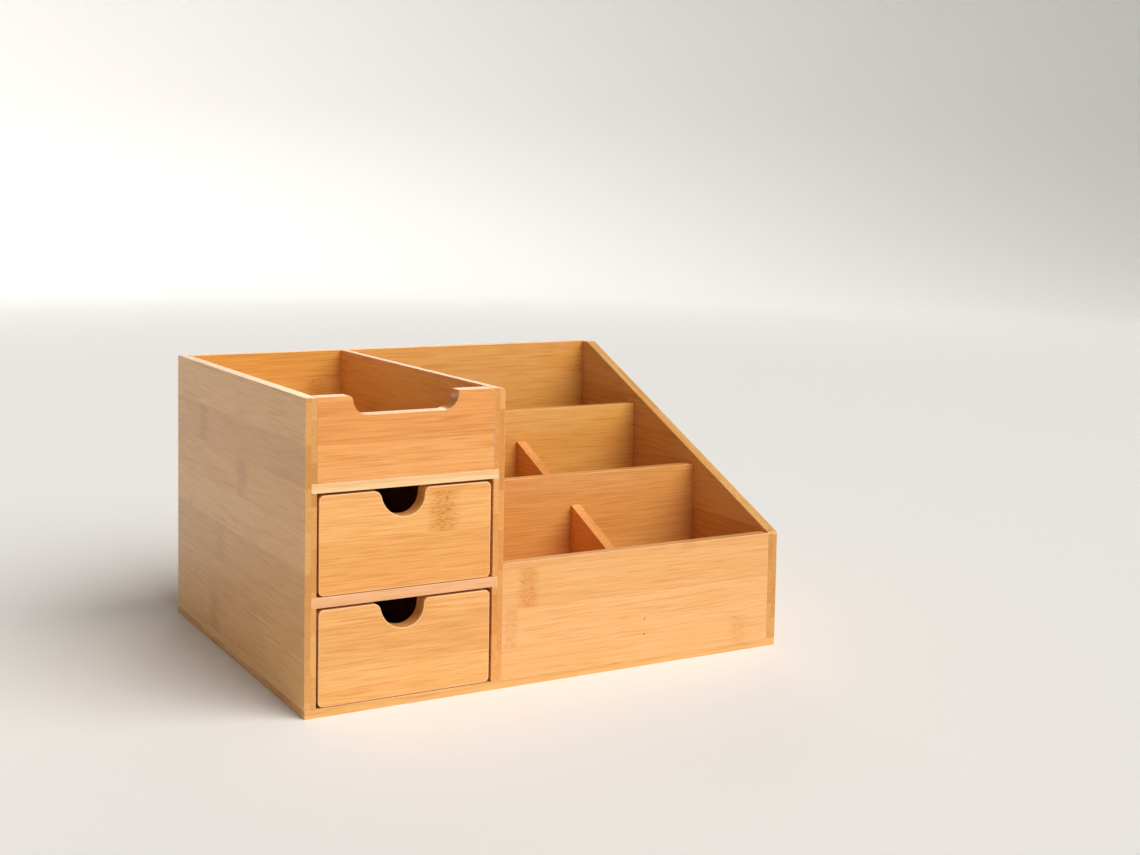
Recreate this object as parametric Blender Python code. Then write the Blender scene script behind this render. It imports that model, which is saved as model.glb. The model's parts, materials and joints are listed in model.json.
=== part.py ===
"""Bamboo desk organizer: glued and nailed boards, an open tray, two drawers and five pen cells.

Every board is a separate object. The frame has its origin under the middle of the organizer: X runs to
the right, the front faces -Y and Z points up. The boards are laid out in bench coordinates, which are
measured from the front left bottom corner of the carcass, and an empty carries them to the frame.
"""
import math

import bmesh
import bpy

# Overall size of the carcass
WIDTH = 0.330
DEPTH = 0.240
HEIGHT = 0.180

# Boards
BOARD = 0.007
BOTTOM_BOARD = 0.005
TRAY_SHELF = 0.0055
DRAWER_SHELF = 0.006
DADO_DEPTH = 0.0035
GLUE_GAP = 0.0003

# Left column: two drawer bays under an open tray
BAY_WIDTH = 0.111
LOWER_BAY_HEIGHT = 0.057
UPPER_BAY_HEIGHT = 0.0585
TRAY_FRONT = 0.010
SCOOP_WIDTH = 0.066
SCOOP_RADIUS = 0.010
SCOOP_NECK = 0.0001
SCOOP_SHOULDER = 0.0011
SCOOP_OFFSET = 0.0001

# Right column: a low front, a sloping side and three rows of cells
LOW_FRONT_TOP = 0.075
SIDE_FLAT = 0.014
REAR_ROW = 0.067
MIDDLE_ROW = 0.068
LEFT_CELL = 0.098
REAR_PARTITION_DROP = 0.0088
MIDDLE_PARTITION_DROP = 0.0072
MIDDLE_DIVIDER_DROP = 0.022
FRONT_DIVIDER_DROP = 0.0205

# Drawers
DRAWER_FRONT = 0.010
DRAWER_WALL = 0.005
DRAWER_BOTTOM = 0.003
DRAWER_LEFT_GAP = 0.0013
DRAWER_RIGHT_GAP = 0.0017
DRAWER_TOP_GAP = 0.0014
DRAWER_LIFT = 0.0004
DRAWER_REAR_GAP = 0.008
DRAWER_CORNER = 0.003
WALL_INSET = 0.0008
WALL_DROP = 0.003
GROOVE_HEIGHT = 0.004
GROOVE_DEPTH = 0.0025
NOTCH_RADIUS = 0.012
NOTCH_NECK = 0.0002
NOTCH_SHOULDER = 0.0035
NOTCH_OFFSET = -0.001

# Steel brads
BRAD_LENGTH = 0.018
BRAD_RADIUS = 0.0004
BRAD_HEAD_RADIUS = 0.0006
BRAD_HEAD = 0.0006
BRAD_TIP = 0.0015
BRAD_SINK = 0.0003
BRAD_SIDES = 10
BRAD_TIP_TAPER = 1 / 3
BRAD_MARGIN = 0.040

# Heights of the brads in a joint, as shares of the joint's height
EDGE_BRADS = (("low", 0.30), ("high", 0.75))
TRAY_FRONT_BRADS = (("low", 0.28), ("high", 0.55))
FRONT_DIVIDER_BRADS = (("low", 0.27), ("high", 0.40))

# Modelling
ARC_STEPS = 8
OVERCUT = 0.002
SMOOTH_ANGLE = 40

# Places that follow from the sizes above, in bench coordinates
DIVIDER_LEFT = BOARD + BAY_WIDTH
DIVIDER_RIGHT = DIVIDER_LEFT + BOARD
RIGHT_SIDE_LEFT = WIDTH - BOARD
BACK_FRONT = DEPTH - BOARD
REAR_PARTITION_FRONT = BACK_FRONT - REAR_ROW - BOARD
MIDDLE_PARTITION_FRONT = REAR_PARTITION_FRONT - MIDDLE_ROW - BOARD
ROW_DIVIDER_LEFT = DIVIDER_RIGHT + LEFT_CELL
LOWER_BAY_FLOOR = BOTTOM_BOARD
DRAWER_SHELF_BOTTOM = LOWER_BAY_FLOOR + LOWER_BAY_HEIGHT
UPPER_BAY_FLOOR = DRAWER_SHELF_BOTTOM + DRAWER_SHELF
TRAY_SHELF_BOTTOM = UPPER_BAY_FLOOR + UPPER_BAY_HEIGHT
TRAY_FLOOR = TRAY_SHELF_BOTTOM + TRAY_SHELF
STAND = BOTTOM_BOARD + GLUE_GAP

# sRGB colour and roughness of each kind of board, and of the brads
BAMBOO_SIDE = ((0.70, 0.55, 0.38), 0.45, 0.0)
BAMBOO_FACE = ((0.94, 0.68, 0.40), 0.42, 0.0)
BAMBOO_INNER = ((0.86, 0.58, 0.33), 0.45, 0.0)
BAMBOO_SHELF = ((0.95, 0.78, 0.54), 0.42, 0.0)
BAMBOO_DRAWER = ((0.90, 0.70, 0.45), 0.50, 0.0)
BRAD_STEEL = ((0.36, 0.33, 0.30), 0.40, 1.0)

# For a slab in each plane: the axis along the outline's first and second number, and its thickness axis
PLANES = {"front": (0, 2, 1), "side": (1, 2, 0), "flat": (0, 1, 2)}


def clear_scene():
    """Remove every object that the file opens with."""
    for thing in list(bpy.data.objects):
        bpy.data.objects.remove(thing, do_unlink=True)


def to_linear(value):
    """Linear light of one sRGB channel."""
    if value <= 0.04045:
        return value / 12.92
    return ((value + 0.055) / 1.055) ** 2.4


def make_finish(name, finish):
    """A material of its own for one piece."""
    colour, roughness, metallic = finish
    material = bpy.data.materials.new(name + "_finish")
    material.use_nodes = True
    shader = material.node_tree.nodes["Principled BSDF"]
    shader.inputs["Base Color"].default_value = (*[to_linear(value) for value in colour], 1.0)
    shader.inputs["Roughness"].default_value = roughness
    shader.inputs["Metallic"].default_value = metallic
    return material


def make_empty(name, location, parent=None):
    """An empty that carries other objects."""
    empty = bpy.data.objects.new(name, None)
    empty.location = location
    empty.parent = parent
    bpy.context.collection.objects.link(empty)
    return empty


def make_object(name, shape, location, parent, finish=None):
    """An object from a bmesh; without a finish it is a cutter, which isn't part of the model."""
    bmesh.ops.recalc_face_normals(shape, faces=shape.faces)
    mesh = bpy.data.meshes.new(name)
    shape.to_mesh(mesh)
    shape.free()
    piece = bpy.data.objects.new(name, mesh)
    piece.location = location
    piece.parent = parent
    bpy.context.collection.objects.link(piece)
    if finish is None:
        piece.hide_render = True
        piece.display_type = "WIRE"
    else:
        mesh.materials.append(make_finish(name, finish))
    return piece


def arc(centre, radius, start, end, steps=ARC_STEPS):
    """Points of an arc from one angle to another, in degrees."""
    angles = [math.radians(start + (end - start) * step / steps) for step in range(steps + 1)]
    return [(centre[0] + radius * math.cos(a), centre[1] + radius * math.sin(a)) for a in angles]


def rectangle(length, height):
    """Outline of a plain board."""
    return [(0.0, 0.0), (length, 0.0), (length, height), (0.0, height)]


def slab(name, plane, corner, outline, thickness, parent, finish=None):
    """A board: an outline in one plane, extruded through its thickness from the corner."""
    along, up, through = PLANES[plane]
    shape = bmesh.new()
    verts = []
    for first, second in outline:
        point = [0.0, 0.0, 0.0]
        point[along] = first
        point[up] = second
        verts.append(shape.verts.new(point))
    face = shape.faces.new(verts)
    grown = bmesh.ops.extrude_face_region(shape, geom=[face])
    shift = [0.0, 0.0, 0.0]
    shift[through] = thickness
    moved = [item for item in grown["geom"] if isinstance(item, bmesh.types.BMVert)]
    bmesh.ops.translate(shape, verts=moved, vec=shift)
    return make_object(name, shape, corner, parent, finish)


def cut(piece, cutter):
    """Take a cutter's shape out of a piece."""
    modifier = piece.modifiers.new("cut_" + cutter.name, "BOOLEAN")
    modifier.operation = "DIFFERENCE"
    modifier.solver = "EXACT"
    modifier.object = cutter


def cut_dip(outline_start, outline_end, width, radius, neck, shoulder, centre, rim, steps):
    """Outline points of a dip in a top edge, from right to left.

    Each end falls over a rounded shoulder into a neck and then runs along a quarter round to the floor.
    """
    floor = rim - radius - neck - shoulder
    right = centre + width / 2
    left = centre - width / 2
    points = [outline_start]
    points += arc((right + shoulder, rim - shoulder), shoulder, 90, 180, steps)
    points += arc((right - radius, floor + radius), radius, 0, -90, steps)
    points += arc((left + radius, floor + radius), radius, -90, -180, steps)
    points += arc((left - shoulder, rim - shoulder), shoulder, 0, 90, steps)
    points.append(outline_end)
    return points


def without_doubles(points):
    """The same outline with each repeated point kept once."""
    kept = []
    for point in points:
        if not kept or math.dist(point, kept[-1]) > GLUE_GAP / 100:
            kept.append(point)
    return kept


def side_top(place):
    """Height of the sloping side's top edge at a distance from the front."""
    run = DEPTH - SIDE_FLAT
    return LOW_FRONT_TOP + (HEIGHT - LOW_FRONT_TOP) * min(place / run, 1.0)


def side_slope():
    """Rise of the sloping side for each metre of depth."""
    return (HEIGHT - LOW_FRONT_TOP) / (DEPTH - SIDE_FLAT)


def make_carcass(bench):
    """The outer boards, the centre divider and the two shelves."""
    boards = {}
    boards["bottom_board"] = slab(
        "bottom_board", "flat", (0, 0, 0), rectangle(WIDTH, DEPTH), BOTTOM_BOARD, bench, BAMBOO_SHELF)
    tall = rectangle(DEPTH, HEIGHT - STAND)
    boards["left_side_panel"] = slab(
        "left_side_panel", "side", (0, 0, STAND), tall, BOARD, bench, BAMBOO_SIDE)
    divider = rectangle(BACK_FRONT - GLUE_GAP, HEIGHT - STAND)
    boards["centre_divider"] = slab(
        "centre_divider", "side", (DIVIDER_LEFT, 0, STAND), divider, BOARD, bench, BAMBOO_INNER)
    sloped = [
        (0.0, 0.0),
        (DEPTH, 0.0),
        (DEPTH, HEIGHT - STAND),
        (DEPTH - SIDE_FLAT, HEIGHT - STAND),
        (0.0, LOW_FRONT_TOP - STAND),
    ]
    boards["right_side_panel"] = slab(
        "right_side_panel", "side", (RIGHT_SIDE_LEFT, 0, STAND), sloped, BOARD, bench, BAMBOO_SIDE)
    back = rectangle(RIGHT_SIDE_LEFT - BOARD - 2 * GLUE_GAP, HEIGHT - STAND)
    boards["back_panel"] = slab(
        "back_panel", "front", (BOARD + GLUE_GAP, BACK_FRONT, STAND), back, BOARD, bench, BAMBOO_INNER)
    for name, bottom, thickness in (
            ("drawer_shelf", DRAWER_SHELF_BOTTOM, DRAWER_SHELF),
            ("tray_shelf", TRAY_SHELF_BOTTOM, TRAY_SHELF)):
        make_shelf(name, bottom, thickness, boards, bench)
    return boards


def make_shelf(name, bottom, thickness, boards, bench):
    """A shelf housed in a dado in the left side and one in the centre divider."""
    shelf_depth = BACK_FRONT - GLUE_GAP
    left = BOARD - DADO_DEPTH
    length = BAY_WIDTH + 2 * DADO_DEPTH
    outline = rectangle(length - 2 * GLUE_GAP, shelf_depth)
    boards[name] = slab(
        name, "flat", (left + GLUE_GAP, 0, bottom), outline, thickness, bench, BAMBOO_SHELF)
    dado = slab(
        name + "_dado", "front", (left, -OVERCUT, bottom - GLUE_GAP),
        rectangle(length, thickness + 2 * GLUE_GAP), shelf_depth + GLUE_GAP + OVERCUT, bench)
    cut(boards["left_side_panel"], dado)
    cut(boards["centre_divider"], dado)


def make_tray_front(bench):
    """The tray's front, with a wide scoop in its top edge, between the left side and the divider."""
    length = BAY_WIDTH - 2 * GLUE_GAP
    floor = TRAY_FLOOR + GLUE_GAP
    rim = HEIGHT - floor
    dip = cut_dip((length, rim), (0.0, rim), SCOOP_WIDTH, SCOOP_RADIUS, SCOOP_NECK, SCOOP_SHOULDER,
                  length / 2 + SCOOP_OFFSET, rim, ARC_STEPS)
    outline = without_doubles([(0.0, 0.0), (length, 0.0)] + dip)
    return slab(
        "tray_front", "front", (BOARD + GLUE_GAP, 0, floor), outline, TRAY_FRONT, bench, BAMBOO_FACE)


def make_cells(bench):
    """The low front, the two partitions across the right column and a divider in each of two rows."""
    boards = {}
    left = DIVIDER_RIGHT + GLUE_GAP
    length = RIGHT_SIDE_LEFT - DIVIDER_RIGHT - 2 * GLUE_GAP
    boards["front_panel"] = slab(
        "front_panel", "front", (left, 0, STAND), rectangle(length, LOW_FRONT_TOP - STAND), BOARD,
        bench, BAMBOO_FACE)
    rear_top = side_top(REAR_PARTITION_FRONT) - REAR_PARTITION_DROP
    middle_top = side_top(MIDDLE_PARTITION_FRONT) - MIDDLE_PARTITION_DROP
    boards["rear_partition"] = slab(
        "rear_partition", "front", (left, REAR_PARTITION_FRONT, STAND),
        rectangle(length, rear_top - STAND), BOARD, bench, BAMBOO_INNER)
    boards["middle_partition"] = slab(
        "middle_partition", "front", (left, MIDDLE_PARTITION_FRONT, STAND),
        rectangle(length, middle_top - STAND), BOARD, bench, BAMBOO_INNER)
    rows = (
        ("middle_row_divider", MIDDLE_PARTITION_FRONT + BOARD, REAR_PARTITION_FRONT,
         rear_top - MIDDLE_DIVIDER_DROP),
        ("front_row_divider", BOARD, MIDDLE_PARTITION_FRONT, middle_top - FRONT_DIVIDER_DROP),
    )
    for name, row_front, row_back, back_top in rows:
        reach = row_back - row_front - 2 * GLUE_GAP
        back_height = back_top - STAND
        front_height = back_height - reach * side_slope()
        outline = [(0.0, 0.0), (reach, 0.0), (reach, back_height), (0.0, front_height)]
        corner = (ROW_DIVIDER_LEFT, row_front + GLUE_GAP, STAND)
        boards[name] = slab(name, "side", corner, outline, BOARD, bench, BAMBOO_INNER)
    return boards


def make_drawer(name, bay_floor, bay_height, bench):
    """A drawer of five boards, carried by an empty at the middle of its front's bottom edge."""
    width = BAY_WIDTH - DRAWER_LEFT_GAP - DRAWER_RIGHT_GAP
    height = bay_height - DRAWER_LIFT - DRAWER_TOP_GAP
    middle = BOARD + DRAWER_LEFT_GAP + width / 2
    slide = make_empty(name + "_slide", (middle, 0, bay_floor + DRAWER_LIFT), bench)
    boards = {}

    notch = cut_dip((width, height), (0.0, height), 2 * NOTCH_RADIUS, NOTCH_RADIUS, NOTCH_NECK,
                    NOTCH_SHOULDER, width / 2 + NOTCH_OFFSET, height, ARC_STEPS)
    corner = DRAWER_CORNER
    outline = arc((corner, corner), corner, 180, 270)
    outline += arc((width - corner, corner), corner, 270, 360)
    outline += arc((width - corner, height - corner), corner, 0, 90)
    outline += notch[1:-1]
    outline += arc((corner, height - corner), corner, 90, 180)
    boards["front"] = slab(
        name + "_front", "front", (-width / 2, 0, 0), without_doubles(outline), DRAWER_FRONT, slide,
        BAMBOO_FACE)

    box_width = width - 2 * WALL_INSET
    wall_front = DRAWER_FRONT + GLUE_GAP
    box_back = BACK_FRONT - DRAWER_REAR_GAP
    wall_height = height - WALL_DROP
    wall = rectangle(box_back - wall_front, wall_height)
    boards["left_side"] = slab(
        name + "_left_side", "side", (-box_width / 2, wall_front, 0), wall, DRAWER_WALL, slide,
        BAMBOO_DRAWER)
    boards["right_side"] = slab(
        name + "_right_side", "side", (box_width / 2 - DRAWER_WALL, wall_front, 0), wall, DRAWER_WALL,
        slide, BAMBOO_DRAWER)
    inner_width = box_width - 2 * DRAWER_WALL
    boards["back"] = slab(
        name + "_back", "front", (-inner_width / 2 + GLUE_GAP, box_back - DRAWER_WALL, 0),
        rectangle(inner_width - 2 * GLUE_GAP, wall_height), DRAWER_WALL, slide, BAMBOO_DRAWER)

    groove_width = inner_width + 2 * GROOVE_DEPTH
    groove_front = DRAWER_FRONT - GROOVE_DEPTH
    groove_back = box_back - DRAWER_WALL + GROOVE_DEPTH
    panel = rectangle(groove_width - 2 * GLUE_GAP, groove_back - groove_front - 2 * GLUE_GAP)
    boards["bottom"] = slab(
        name + "_bottom", "flat", (-groove_width / 2 + GLUE_GAP, groove_front + GLUE_GAP, GROOVE_HEIGHT),
        panel, DRAWER_BOTTOM, slide, BAMBOO_DRAWER)
    groove = slab(
        name + "_groove", "flat", (-groove_width / 2, groove_front, GROOVE_HEIGHT - GLUE_GAP),
        rectangle(groove_width, groove_back - groove_front), DRAWER_BOTTOM + 2 * GLUE_GAP, slide)
    for part in ("front", "left_side", "right_side", "back"):
        cut(boards[part], groove)

    for side, way in (("left", 1), ("right", -1)):
        for row, share in EDGE_BRADS:
            head = (-way * (box_width / 2 - BRAD_SINK), box_back - DRAWER_WALL / 2,
                    wall_height * share)
            drive_brad(f"{name}_{side}_{row}_brad", head, (way, 0, 0),
                       (boards[side + "_side"], boards["back"]), slide)
    return boards


def turned(profile, direction):
    """A solid turned from (distance, radius) pairs about a line through the origin along one axis."""
    through = max(range(3), key=lambda axis: abs(direction[axis]))
    across = [axis for axis in range(3) if axis != through]
    shape = bmesh.new()
    rings = []
    for distance, radius in profile:
        ring = []
        for side in range(BRAD_SIDES):
            angle = 2 * math.pi * side / BRAD_SIDES
            point = [0.0, 0.0, 0.0]
            point[through] = distance * direction[through]
            point[across[0]] = radius * math.cos(angle)
            point[across[1]] = radius * math.sin(angle)
            ring.append(shape.verts.new(point))
        rings.append(ring)
    for lower, upper in zip(rings, rings[1:]):
        for side in range(BRAD_SIDES):
            after = (side + 1) % BRAD_SIDES
            shape.faces.new((lower[side], lower[after], upper[after], upper[side]))
    shape.faces.new(rings[0])
    shape.faces.new(rings[-1])
    return shape


def drive_brad(name, head, direction, boards, parent):
    """A steel brad from its head point along a direction, with a hole of its shape in each board."""
    solid = [
        (0.0, BRAD_HEAD_RADIUS),
        (BRAD_HEAD, BRAD_HEAD_RADIUS),
        (BRAD_HEAD, BRAD_RADIUS),
        (BRAD_LENGTH - BRAD_TIP, BRAD_RADIUS),
        (BRAD_LENGTH, BRAD_RADIUS * BRAD_TIP_TAPER),
    ]
    hole = [
        (-OVERCUT, BRAD_HEAD_RADIUS + GLUE_GAP),
        (BRAD_HEAD + GLUE_GAP, BRAD_HEAD_RADIUS + GLUE_GAP),
        (BRAD_HEAD + GLUE_GAP, BRAD_RADIUS + GLUE_GAP),
        (BRAD_LENGTH + GLUE_GAP, BRAD_RADIUS + GLUE_GAP),
    ]
    piece = make_object(name, turned(solid, direction), head, parent, BRAD_STEEL)
    piece.data.shade_smooth()
    piece.data.set_sharp_from_angle(angle=math.radians(SMOOTH_ANGLE))
    cutter = make_object(name + "_hole", turned(hole, direction), head, parent)
    for board in boards:
        cut(board, cutter)


def nail_carcass(boards, bench):
    """The brads that hold the carcass: through the sides, the low front and the bottom board."""
    left_outside = BRAD_SINK
    right_outside = WIDTH - BRAD_SINK
    tray_height = HEIGHT - TRAY_FLOOR
    for row, share in TRAY_FRONT_BRADS:
        head = (left_outside, TRAY_FRONT / 2, TRAY_FLOOR + tray_height * share)
        drive_brad(f"tray_front_{row}_brad", head, (1, 0, 0),
                   (boards["left_side_panel"], boards["tray_front"]), bench)
    for row, share in FRONT_DIVIDER_BRADS:
        head = (ROW_DIVIDER_LEFT + BOARD / 2, BRAD_SINK, LOW_FRONT_TOP * share)
        drive_brad(f"front_divider_{row}_brad", head, (0, 1, 0),
                   (boards["front_panel"], boards["front_row_divider"]), bench)
    crossing = (
        ("front_panel", BOARD / 2, LOW_FRONT_TOP),
        ("middle_partition", MIDDLE_PARTITION_FRONT + BOARD / 2, side_top(MIDDLE_PARTITION_FRONT)),
        ("rear_partition", REAR_PARTITION_FRONT + BOARD / 2, side_top(REAR_PARTITION_FRONT)),
    )
    for name, place, top in crossing:
        for row, share in EDGE_BRADS:
            drive_brad(f"{name}_{row}_brad", (right_outside, place, top * share), (-1, 0, 0),
                       (boards["right_side_panel"], boards[name]), bench)
    for side, outside, way in (("left", left_outside, 1), ("right", right_outside, -1)):
        for row, share in EDGE_BRADS:
            drive_brad(f"back_panel_{side}_{row}_brad", (outside, BACK_FRONT + BOARD / 2, HEIGHT * share),
                       (way, 0, 0), (boards[f"{side}_side_panel"], boards["back_panel"]), bench)
    standing = (
        ("left_side_panel", BOARD / 2),
        ("centre_divider", DIVIDER_LEFT + BOARD / 2),
        ("right_side_panel", WIDTH - BOARD / 2),
    )
    for name, across in standing:
        for row, place in (("front", BRAD_MARGIN), ("middle", DEPTH / 2), ("rear", DEPTH - BRAD_MARGIN)):
            drive_brad(f"{name}_{row}_brad", (across, place, BRAD_SINK), (0, 0, 1),
                       (boards["bottom_board"], boards[name]), bench)


def main():
    """Build every board and brad of the organizer."""
    clear_scene()
    bench = make_empty("organizer_bench", (-WIDTH / 2, -DEPTH / 2, 0))
    boards = make_carcass(bench)
    boards["tray_front"] = make_tray_front(bench)
    boards.update(make_cells(bench))
    nail_carcass(boards, bench)
    make_drawer("lower_drawer", LOWER_BAY_FLOOR, LOWER_BAY_HEIGHT, bench)
    make_drawer("upper_drawer", UPPER_BAY_FLOOR, UPPER_BAY_HEIGHT, bench)


main()
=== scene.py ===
"""Looks of a bamboo desk organizer: laminated boards, a scooped tray, two drawers, pen cells and pin nails.

Every board is a new surface that takes the place of its CAD solid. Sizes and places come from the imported
model's boxes, in metres, with X to the right, the front facing -Y and Z up.
"""
from __future__ import annotations

import json
import logging
import math
from dataclasses import dataclass, field, replace
from enum import Enum, Flag, auto
from typing import Sequence

import bpy
import numpy as np
from mathutils import Matrix, Vector


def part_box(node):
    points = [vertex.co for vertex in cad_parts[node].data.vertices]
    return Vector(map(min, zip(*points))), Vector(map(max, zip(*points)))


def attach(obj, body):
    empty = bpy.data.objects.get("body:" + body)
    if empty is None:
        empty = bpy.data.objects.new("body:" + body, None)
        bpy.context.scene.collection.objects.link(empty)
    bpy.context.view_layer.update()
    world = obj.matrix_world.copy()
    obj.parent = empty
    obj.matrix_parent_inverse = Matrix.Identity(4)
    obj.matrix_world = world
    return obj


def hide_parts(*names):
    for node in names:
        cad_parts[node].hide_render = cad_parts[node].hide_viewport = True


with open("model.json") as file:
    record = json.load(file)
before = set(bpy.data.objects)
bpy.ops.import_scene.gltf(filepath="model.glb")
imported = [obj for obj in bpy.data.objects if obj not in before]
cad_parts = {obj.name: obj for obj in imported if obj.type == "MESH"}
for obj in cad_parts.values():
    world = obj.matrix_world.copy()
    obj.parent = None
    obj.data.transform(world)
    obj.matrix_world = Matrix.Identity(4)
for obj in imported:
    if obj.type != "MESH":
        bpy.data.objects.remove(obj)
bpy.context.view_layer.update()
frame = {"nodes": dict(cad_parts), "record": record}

log = logging.getLogger("organizer")
logging.basicConfig(level=logging.INFO, format="%(message)s")

MM = 0.001
GLUE_GAP = 0.3 * MM
HAIRLINE = 0.02 * MM

# an eased edge has a ring at twice EASE on the face, so CORNER stays above that
EASE = 0.2 * MM
CORNER = 0.6 * MM
ARC_STEP = math.radians(5)
SHARP = math.radians(32)

STRIP_WIDTH = 24.0 * MM
PLY = 3.5 * MM

SHELVES = ("drawer_shelf", "tray_shelf")
SIDE_FLAT = 14 * MM


class Axis(Enum):
    """An axis of the frame, by its place in a vector."""

    X = 0
    Y = 1
    Z = 2


class Side(Flag):
    """Sides of a board that are glued to a neighbour, where it grows across the CAD model's gap."""

    NONE = 0
    LEFT = auto()
    RIGHT = auto()
    FRONT = auto()
    BACK = auto()
    DOWN = auto()
    UP = auto()


# ---------------------------------------------------------------- surfaces


def filleted(corners: Sequence[tuple[float, float]], radii: Sequence[float]) -> np.ndarray:
    """An outline with every corner rounded.

    Each corner is replaced by the arc that touches both of its edges: the arc starts and ends at
    radius x tan(turn / 2) from the corner, and runs through the turn in equal angles.

    Args:
        corners: The outline's corners in order, in metres.
        radii: One radius for each corner; 0 keeps it sharp.

    Returns:
        The outline's points, one row each, running anticlockwise.
    """
    points = np.asarray(corners, dtype=float)
    before = points - np.roll(points, 1, axis=0)
    after = np.roll(points, -1, axis=0) - points
    before /= np.linalg.norm(before, axis=1, keepdims=True)
    after /= np.linalg.norm(after, axis=1, keepdims=True)
    turns = np.arctan2(
        before[:, 0] * after[:, 1] - before[:, 1] * after[:, 0], (before * after).sum(axis=1))
    pieces = []
    for point, along, turn, radius in zip(points, before, turns, radii):
        if radius <= 0:
            pieces.append(point[None])
            continue
        steps = max(2, round(abs(turn) / ARC_STEP))
        angles = np.linspace(0.0, turn, steps + 1)
        start = point - along * radius * math.tan(abs(turn) / 2)
        normal = np.array([-along[1], along[0]]) * math.copysign(1.0, turn)
        bow = radius * np.sin(np.abs(angles))[:, None] * along
        bow = bow + radius * (1 - np.cos(angles))[:, None] * normal
        pieces.append(start + bow)
    outline = np.concatenate(pieces)
    step = np.linalg.norm(outline - np.roll(outline, 1, axis=0), axis=1)
    outline = outline[step > HAIRLINE / 20]
    area = (outline[:, 0] * np.roll(outline[:, 1], -1) - outline[:, 1] * np.roll(outline[:, 0], -1)).sum()
    return outline if area > 0 else outline[::-1]


def carried_profile(outline: np.ndarray, thickness: float, ease: float) -> tuple[np.ndarray, np.ndarray]:
    """The wall of a board: an eased edge profile carried round its outline.

    The profile is a quarter round at each face, with one more ring just inside it on the face and one on
    the wall. A ring is the outline moved inwards along the mitre of its corners by the profile's inset,
    at the profile's depth.

    Args:
        outline: Points of the outline, anticlockwise.
        thickness: Distance between the two faces.
        ease: Radius of the quarter rounds.

    Returns:
        The rings as an array of (ring, point, 2), and the depth of each ring.
    """
    swing = np.linspace(0.0, math.pi / 2, 4)
    inset = np.concatenate([[2 * ease], ease * (1 - np.sin(swing)), [0.0]])
    depth = np.concatenate([[0.0], ease * (1 - np.cos(swing)), [2 * ease]])
    inset = np.concatenate([inset, inset[::-1]])
    depth = np.concatenate([depth, thickness - depth[::-1]])
    edge = np.roll(outline, -1, axis=0) - outline
    edge /= np.linalg.norm(edge, axis=1, keepdims=True)
    inward = np.stack([-edge[:, 1], edge[:, 0]], axis=1)
    other = np.roll(inward, 1, axis=0)
    mitre = (inward + other) / (1 + (inward * other).sum(axis=1, keepdims=True))
    return outline[None] + inset[:, None, None] * mitre[None], depth


def ring_quads(rings: int, width: int) -> list[list[int]]:
    """Faces between rings of points that are numbered ring after ring.

    Args:
        rings: Number of rings.
        width: Number of points in each.

    Returns:
        Point numbers of each quad; seen from outside, they run anticlockwise when the rings do.
    """
    here = np.arange(width)
    there = np.roll(here, -1)
    low = (np.arange(rings - 1) * width)[:, None]
    quads = np.stack([low + here, low + there, low + width + there, low + width + here], axis=-1)
    return [list(quad) for quad in quads.reshape(-1, 4)]


def new_piece(name: str, points: np.ndarray, faces: list[Sequence[int]],
              rim: np.ndarray | None = None) -> bpy.types.Object:
    """A smooth shaded object from points and faces, with its sharp edges marked.

    Args:
        name: Name of the piece.
        points: One row for each point.
        faces: Point numbers of each face.
        rim: How much each point belongs to an eased edge, from 0 to 1.

    Returns:
        The object.
    """
    mesh = bpy.data.meshes.new(name)
    mesh.from_pydata(points.tolist(), [], faces)
    if rim is not None:
        mesh.attributes.new("rim", "FLOAT", "POINT").data.foreach_set("value", rim)
    mesh.shade_smooth()
    mesh.set_sharp_from_angle(angle=SHARP)
    piece = bpy.data.objects.new(name, mesh)
    bpy.context.scene.collection.objects.link(piece)
    return piece


def slab(name: str, outline: np.ndarray, through: Axis, start: float, thickness: float,
         ease: float = EASE) -> bpy.types.Object:
    """A board with eased edges: an outline swept through its thickness.

    Args:
        name: Name of the piece.
        outline: Points in the plane across the axis, as (Y, Z), (X, Z) or (X, Y).
        through: The axis along the thickness.
        start: Where the first face lies on that axis.
        thickness: Distance to the second face.
        ease: Radius of the eased edges.

    Returns:
        The board, closed, with its faces pointing out.
    """
    rings, depth = carried_profile(outline, thickness, ease)
    count, width = rings.shape[:2]
    across = [axis for axis in range(3) if axis != through.value]
    points = np.zeros((count, width, 3))
    points[:, :, across[0]] = rings[:, :, 0]
    points[:, :, across[1]] = rings[:, :, 1]
    points[:, :, through.value] = start + depth[:, None]
    here = np.arange(width)
    faces = ring_quads(count, width)
    faces.append(list(here[::-1]))
    faces.append(list(here + (count - 1) * width))
    if through is Axis.Y:  # X and Z turn the other way about Y
        faces = [face[::-1] for face in faces]
    # the eased edge rings are marked for the material's pale edge colour: partly sanding, partly a painted
    # highlight
    eased_wear_and_highlight = np.zeros((count, width))
    eased_wear_and_highlight[[1, 2, 3, -4, -3, -2]] = 1.0
    return new_piece(name, points.reshape(-1, 3), faces, eased_wear_and_highlight.ravel())


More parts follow.
